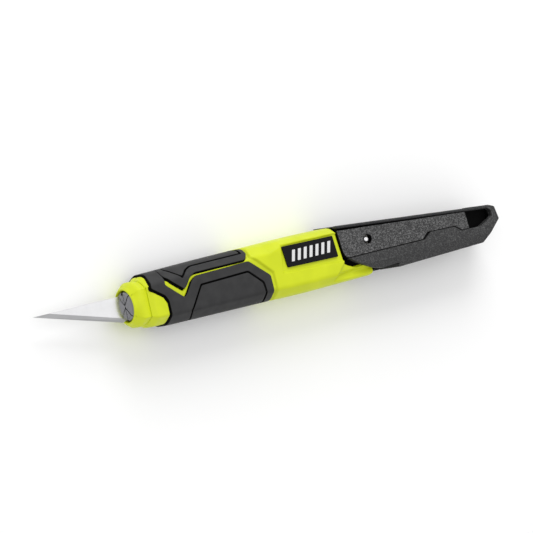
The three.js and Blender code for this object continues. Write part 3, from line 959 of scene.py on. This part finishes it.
# %% Blade and spare blades
TIP_X, SPINE_Y, HEEL_X = -61.2, 2.6, -38.3
BLADE_WIDTH, BLADE_HALF = 6.0, 0.25
HEEL_Y = SPINE_Y - BLADE_WIDTH
HEEL_STEP = (0.6, 0.4)        # the notch behind the heel
TANG_END, TANG_CORNER = -21.5, 0.8
SLOT_REAR, SLOT_FRONT, SLOT_RADIUS = TANG_END - 4.5, TANG_END - 10.0, 0.9
SLOT_Y = SPINE_Y - 2.8
GRIND_WIDTH, GRIND_START = 0.97, 4.2    # at the heel, and along the spine from the tip
EDGE_SHARE = 0.06             # thickness left at the edge
GROUND_NORMALS = (0.5, 0.995)


def tang_slot():
    """A slot with round ends: half a circle, and the same half turned to face forwards."""
    ring = circle((SLOT_REAR, SLOT_Y), SLOT_RADIUS, 24)
    rear = sorted((p for p in ring if p.x >= SLOT_REAR - 1e-6), key=lambda p: p.y)
    return rear + [Vector((SLOT_REAR + SLOT_FRONT - p.x, p.y)) for p in reversed(rear)]


def blade_blank():
    """A whole blade, ground along its edge, where the fitted blade lies."""
    tang_y = HEEL_Y + HEEL_STEP[1]
    outline = [
        Vector(p) for p in (
            (TIP_X, SPINE_Y), (HEEL_X, HEEL_Y), (HEEL_X + HEEL_STEP[0], tang_y),
            (TANG_END - TANG_CORNER, tang_y), (TANG_END, tang_y + TANG_CORNER),
            (TANG_END, SPINE_Y - TANG_CORNER), (TANG_END - TANG_CORNER, SPINE_Y),
        )
    ]
    mesh = plate(outline, -BLADE_HALF, BLADE_HALF, 0.01, holes=[tang_slot()])
    tip, heel = Vector((TIP_X, SPINE_Y, 0)), Vector((HEEL_X, HEEL_Y, 0))
    edge = (heel - tip).normalized()
    inwards = Vector((-edge.y, edge.x, 0))
    grind_start = tip + Vector((GRIND_START, 0, 0))
    grind = (heel + inwards * GRIND_WIDTH - grind_start).normalized()
    cut(mesh, grind_start, (-grind.y, grind.x, 0))
    for vertex in mesh.verts:
        flat = Vector((*vertex.co.xy, 0))
        if (flat - tip).dot(inwards) < 0.04 and flat.x < HEEL_X + 0.1:
            vertex.co.z *= EDGE_SHARE
    for face in mesh.faces:
        face.normal_update()
        if GROUND_NORMALS[0] < abs(face.normal.z) < GROUND_NORMALS[1]:
            face.material_index = 1
    return mesh


finish(
    blade_blank(), "blade_ground", "blade", "blade_steel", "blade", smooth=8, second="ground_steel"
)

# %% [markdown]
# The spares hang side by side under the carrier's lid, so each copy is tilted by the lid's slope
# and moved sideways by one pitch.

# %% Spare blades
SPARE_COUNT, SPARE_PITCH, SPARE_TIP_X, SPARE_DROP = 5, 0.85, 17.8, 0.88
LID_X, LID_HEIGHT = 24.7, 6.1
LID_SLOPE = 0.0893            # the lid and the housing's top edge fall towards the rear


def lid_top(x):
    """Height of the carrier's lid at x."""
    return LID_HEIGHT - (x - LID_X) * LID_SLOPE


lid_tilt = Matrix.Rotation(-math.atan(LID_SLOPE), 3, "Z")
for i in range(SPARE_COUNT):
    spare = blade_blank()
    aside = (i - SPARE_COUNT // 2) * SPARE_PITCH
    bmesh.ops.translate(spare, vec=(-TIP_X, -SPINE_Y, aside), verts=spare.verts)
    bmesh.ops.rotate(spare, cent=(0, 0, 0), matrix=lid_tilt, verts=spare.verts)
    place = (SPARE_TIP_X, lid_top(SPARE_TIP_X) - SPARE_DROP, 0)
    bmesh.ops.translate(spare, vec=place, verts=spare.verts)
    finish(
        spare, f"spare_blade_ground_{i + 1}", "carrier", "blade_steel", f"spare_blade_{i + 1}",
        smooth=8, second="ground_steel",
    )

# %% [markdown]
# ## Rear housing and carrier
# These are black mouldings whose shape the imported model already has. A copy of each is merged
# and gets small rounds on its edges, because no moulded edge is truly sharp and the rounds are
# what catches the light. The housing's near wall is cut off the copy and drawn again below. The
# inner faces get painted shade, a deeper black, so that the window reads as an opening.

# %% Copies of CAD nodes with rounded edges
WALL_INSIDE, WALL_OUTSIDE = 4.4, 6.0
SHARP_ANGLE = math.radians(25)
INSIDE_FLOOR = -5.0


def round_edges(mesh, edges, width, segments):
    bmesh.ops.bevel(
        mesh, geom=edges, offset=width, offset_type="OFFSET", affect="EDGES",
        segments=segments, profile=0.5, material=-1, clamp_overlap=True,
    )


def softened(node, width, without=None):
    """A merged copy of a CAD node in millimetres, with its sharp edges rounded."""
    mesh = bmesh.new()
    mesh.from_mesh(NODES[node].data)
    bmesh.ops.transform(mesh, matrix=TO_ROW.inverted(), verts=mesh.verts)
    bmesh.ops.remove_doubles(mesh, verts=mesh.verts, dist=0.002)
    if without:
        mesh = carve(mesh, without)
    bmesh.ops.dissolve_limit(
        mesh, angle_limit=math.radians(1), verts=mesh.verts, edges=mesh.edges
    )
    sharp = [
        e for e in mesh.edges if len(e.link_faces) == 2 and e.calc_face_angle(0) > SHARP_ANGLE
    ]
    round_edges(mesh, sharp, width, 2)
    return mesh


def paint_inside_shade(mesh, depth):
    """Gives a moulding's second finish, painted shade, to the inner faces that lie depth below the
    lid's top.
    """
    for face in mesh.faces:
        face.normal_update()
        spot = face.calc_center_median()
        outer = face.normal.x > 0.4 or face.normal.y < -0.6
        low_enough = INSIDE_FLOOR < spot.y < lid_top(spot.x) - depth
        if abs(spot.z) < WALL_INSIDE and low_enough and not outer:
            face.material_index = 1
    return mesh


near_side = box((10, -9, WALL_INSIDE - 0.02), (70, 9, 9))
# Painted shade on the inner faces of the housing and the carrier.
housing = paint_inside_shade(softened("rear_housing", 0.1, without=near_side), 0.9)
carrier = paint_inside_shade(softened("blade_carrier", 0.3), 0.6)
for mesh, name, body, node in (
    (housing, "rear_housing_moulded", "handle", "rear_housing"),
    (carrier, "blade_carrier_moulded", "carrier", "blade_carrier"),
):
    finish(mesh, name, body, "black_plastic", node, second="inner_plastic")

# %% [markdown]
# The near wall runs under the side plate and up round the window's end. It is a flat plate, and
# its lower band turns inwards at a crease, so the plate is cut there and the band is moved in.

# %% Near wall of the housing
NEAR_WALL = [
    (19.95, -1.2), (40.65, -1.2), (42.55, 0.2), (49.0, 0.05), (50.9, -1.25), (52.6, -1.2),
    (55.9, -1.25), (59.45, 0.45), (59.5, 1.75), (58.3, 2.62), (53.0, 3.12), (53.0, 3.62),
    (59.1, 3.05), (60.55, 2.45), (61.15, -0.5), (56.4, -5.05), (33.75, -5.8), (33.15, -5.4),
    (33.45, -4.85), (31.6, -4.94), (29.8, -5.04), (28.7, -5.17), (26.3, -4.65), (24.2, -3.63),
    (22.1, -2.6), (20.8, -1.75),
]
CREASE = ((10, -3.6), (62, -3.25))     # below it the wall turns inwards
CREASE_SLOPE, CREASE_ROUND = 0.62, 0.15


def near_wall():
    """The lower part of the housing's near wall, with its lower band turned inwards."""
    mesh = plate(rounded(NEAR_WALL, 0.2), WALL_INSIDE - 0.02, WALL_OUTSIDE, 0.1)
    (ax, ay), (bx, by) = CREASE
    for shift in (-CREASE_ROUND, 0, CREASE_ROUND):
        cut(mesh, (ax, ay + shift, 0), (ay - by, bx - ax, 0))
    for vertex in mesh.verts:
        below = ay + (by - ay) * (vertex.co.x - ax) / (bx - ax) - vertex.co.y
        if vertex.co.z > 5 and below > -CREASE_ROUND:
            turning = (below + CREASE_ROUND) ** 2 / (4 * CREASE_ROUND)
            drop = below if below > CREASE_ROUND else turning
            vertex.co.z = max(WALL_INSIDE + 0.08, vertex.co.z - drop * CREASE_SLOPE)
    return mesh


# The near wall wears painted shade: a darker copy of the textured plastic.
finish(near_wall(), "rear_housing_near_wall", "handle", "shaded_wall_plastic")

# %% [markdown]
# A rounded rail closes the housing's top on the near side and meets the window's end. It is a
# bevelled block that is sheared, not turned, so that its ends stay upright.

# %% Top rail of the housing
rail = box((18.3, -0.7, 3.95), (59.2, 0, 5.9))
round_edges(rail, rail.edges, 0.32, 4)
for vertex in rail.verts:
    vertex.co.y += lid_top(vertex.co.x) - 0.06
finish(rail, "rear_housing_top_rail", "handle", "black_plastic")

# %% [markdown]
# ## Side plate
# The coarse plate is an insert with a slanted front, a stepped lower edge and a hole for the pin.
# It is drawn again as a plate, and its walls, where it stands beside a gap, carry painted shade.

# %% Side plate
PIN_X, PIN_Y, PIN_HOLE = 25.8, 2.05, 1.08
PLATE_OUTLINE = [
    (18.15, 5.45), (18.62, 0.7), (18.95, -0.25), (19.5, -0.98), (20.3, -1.02), (40.1, -1.02),
    (41.75, 0.36), (49.1, 0.2), (51.0, -1.08), (52.85, -1.08), (52.55, 2.75),
]
pin_hole = circle((PIN_X, PIN_Y), PIN_HOLE)
plate_mesh = plate(rounded(PLATE_OUTLINE, 0.22), WALL_INSIDE, WALL_OUTSIDE, 0.09, holes=[pin_hole])
# Painted shade on the plate's upright walls.
paint_wall_shade(plate_mesh)
finish(
    plate_mesh, "side_plate_textured", "handle", "textured_plastic", "side_plate",
    second="inner_plastic",
)

# %% [markdown]
# ## Hinge pin
# The carrier turns on a steel pin, whose domed end shows at the bottom of the plate's hole. It is
# turned on the same lathe as the collet, and then stood upright in its hole.

# %% Hinge pin
pin = lathe([
    (-5.1, 0), (-5.1, 0.6), (-4.95, 0.75), (5.0, 0.75), (5.12, 0.66), (5.3, 0.62), (5.42, 0.5),
    (5.46, 0.25), (5.4, 0),
], 48)
upright = Matrix.Rotation(math.radians(-90), 3, "Y")
bmesh.ops.rotate(pin, cent=(0, 0, 0), matrix=upright, verts=pin.verts)
bmesh.ops.translate(pin, vec=(PIN_X, PIN_Y, 0), verts=pin.verts)
finish(pin, "hinge_pin_turned", "handle", "pin_steel", "hinge_pin")

# %% [markdown]
# ## Badges
# The badges are black inlays in the recess. Plain slanted bars are printed on them, so that they
# carry no name. The bars are thin plates a little above the inlay, and not a picture on it.

# %% Badges
BADGE = [(3.65, 0.05), (17.25, -0.25), (16.8, 4.65), (3.1, 4.95)]
BAR = [(0, 1.15), (0.8, 1.12), (1.5, 3.68), (0.7, 3.7)]
BAR_COUNT, BAR_START, BAR_PITCH = 7, 4.9, 1.6
for side, name in ((1, "near"), (-1, "far")):
    badge = plate(rounded(BADGE, 0.3), 5.5, 5.93, 0.07)
    bars = join(*(
        plate(rounded([(x + start, y) for x, y in BAR], 0.1), 5.85, 5.97, 0.03)
        for start in (BAR_START + i * BAR_PITCH for i in range(BAR_COUNT))
    ))
    for mesh in (badge, bars):
        bmesh.ops.scale(mesh, vec=(1, 1, side), verts=mesh.verts)
    finish(badge, f"badge_{name}_inlay", "handle", "badge", f"badge_{name}")
    finish(bars, f"badge_{name}_bars", "handle", "badge_print")

# %% [markdown]
# ## CAD nodes that stay
# The hidden drive parts are already the right shape, so they keep their CAD mesh and only get
# their finish.

# %% Finishes on the CAD nodes
SLOT_OF = {row["node"]: row["material_slot"] for row in frame["record"]["subparts"]}
for name, node in NODES.items():
    if not node.hide_render:
        node.data.materials.clear()
        node.data.materials.append(LOOKS[SLOT_OF[name]])
        print(name, "is finished as", SLOT_OF[name])
